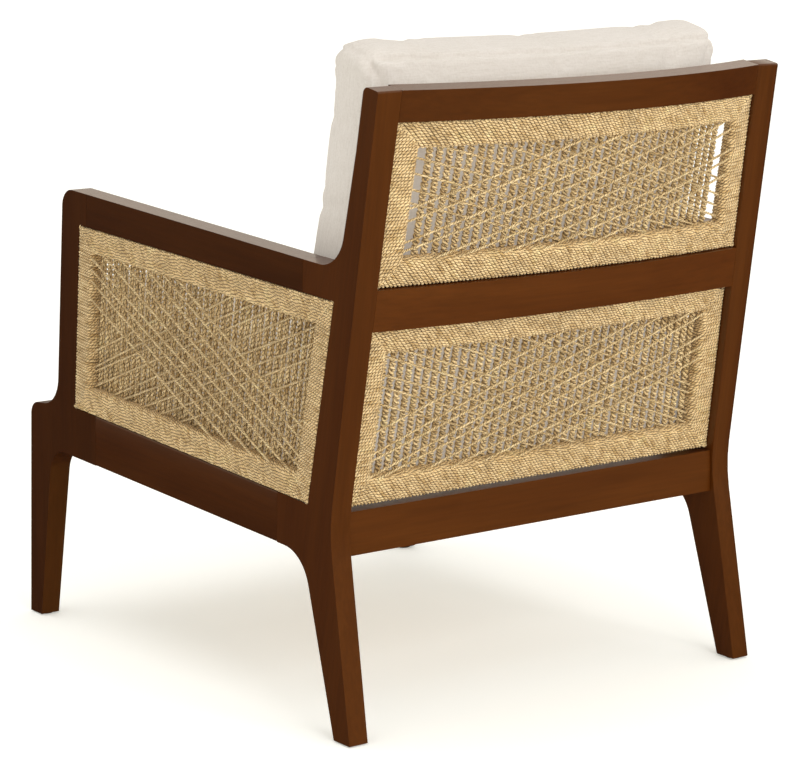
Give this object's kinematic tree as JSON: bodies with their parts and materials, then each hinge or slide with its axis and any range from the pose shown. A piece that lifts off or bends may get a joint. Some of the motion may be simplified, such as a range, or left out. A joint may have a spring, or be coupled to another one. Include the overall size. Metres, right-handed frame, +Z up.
{
  "type": "armchair",
  "caption": "Low lounge armchair with a dark wooden frame, bowed raked back, cord-wound woven side and back panels, and loose seat and back cushions",
  "frame": {"origin": "on the floor under the middle of the chair's overall length and width", "axes": "+Z up, the chair faces -Y, +X is the sitter's left"},
  "size_m": [0.6915, 0.9215, 0.8995],
  "materials": {
    "walnut": "satin dark walnut stain",
    "beech": "plain sanded",
    "straw_cord": "twisted natural paper cord",
    "linen": "off-white woven linen",
    "nylon": "matte"
  },
  "bodies": {
    "frame": {"arm_left": "walnut", "arm_right": "walnut", "corner_block_front_left": "beech", "corner_block_front_right": "beech", "corner_block_rear_left": "beech", "corner_block_rear_right": "beech", "crest_rail": "walnut", "foot_glide_front_left": "nylon", "foot_glide_front_right": "nylon", "foot_glide_rear_left": "nylon", "foot_glide_rear_right": "nylon", "front_leg_left": "walnut", "front_leg_right": "walnut", "front_seat_rail": "walnut", "left_panel_batten_frame": "beech", "left_panel_binding_bottom": "straw_cord", "left_panel_binding_front": "straw_cord", "left_panel_binding_rear": "straw_cord", "left_panel_binding_top": "straw_cord", "left_panel_diagonal_web": "straw_cord", "left_panel_upright_web": "straw_cord", "lower_back_panel_batten_frame": "beech", "lower_back_panel_binding_bottom": "straw_cord", "lower_back_panel_binding_left": "straw_cord", "lower_back_panel_binding_right": "straw_cord", "lower_back_panel_binding_top": "straw_cord", "lower_back_panel_diagonal_web": "straw_cord", "lower_back_panel_upright_web": "straw_cord", "mid_rail": "walnut", "rear_leg_left": "walnut", "rear_leg_right": "walnut", "rear_seat_rail": "walnut", "right_panel_batten_frame": "beech", "right_panel_binding_bottom": "straw_cord", "right_panel_binding_front": "straw_cord", "right_panel_binding_rear": "straw_cord", "right_panel_binding_top": "straw_cord", "right_panel_diagonal_web": "straw_cord", "right_panel_upright_web": "straw_cord", "seat_slat_1": "beech", "seat_slat_2": "beech", "seat_slat_3": "beech", "seat_slat_4": "beech", "seat_slat_5": "beech", "seat_slat_6": "beech", "seat_slat_7": "beech", "side_rail_left": "walnut", "side_rail_right": "walnut", "slat_cleat_left": "beech", "slat_cleat_right": "beech", "upper_back_panel_batten_frame": "beech", "upper_back_panel_binding_bottom": "straw_cord", "upper_back_panel_binding_left": "straw_cord", "upper_back_panel_binding_right": "straw_cord", "upper_back_panel_binding_top": "straw_cord", "upper_back_panel_diagonal_web": "straw_cord", "upper_back_panel_upright_web": "straw_cord"},
    "seat_cushion": {"seat_cushion": "linen"},
    "back_cushion": {"back_cushion": "linen"}
  },
  "joints": [
    {"name": "seat_cushion_draw", "type": "slide", "parent": "frame", "child": "seat_cushion", "axis": [0, -0.999, 0.0455], "range_m": [0, 0.72]},
    {"name": "back_cushion_lift", "type": "slide", "parent": "frame", "child": "back_cushion", "axis": [0, 0.2306, 0.973], "range_m": [0, 0.45]}
  ]
}
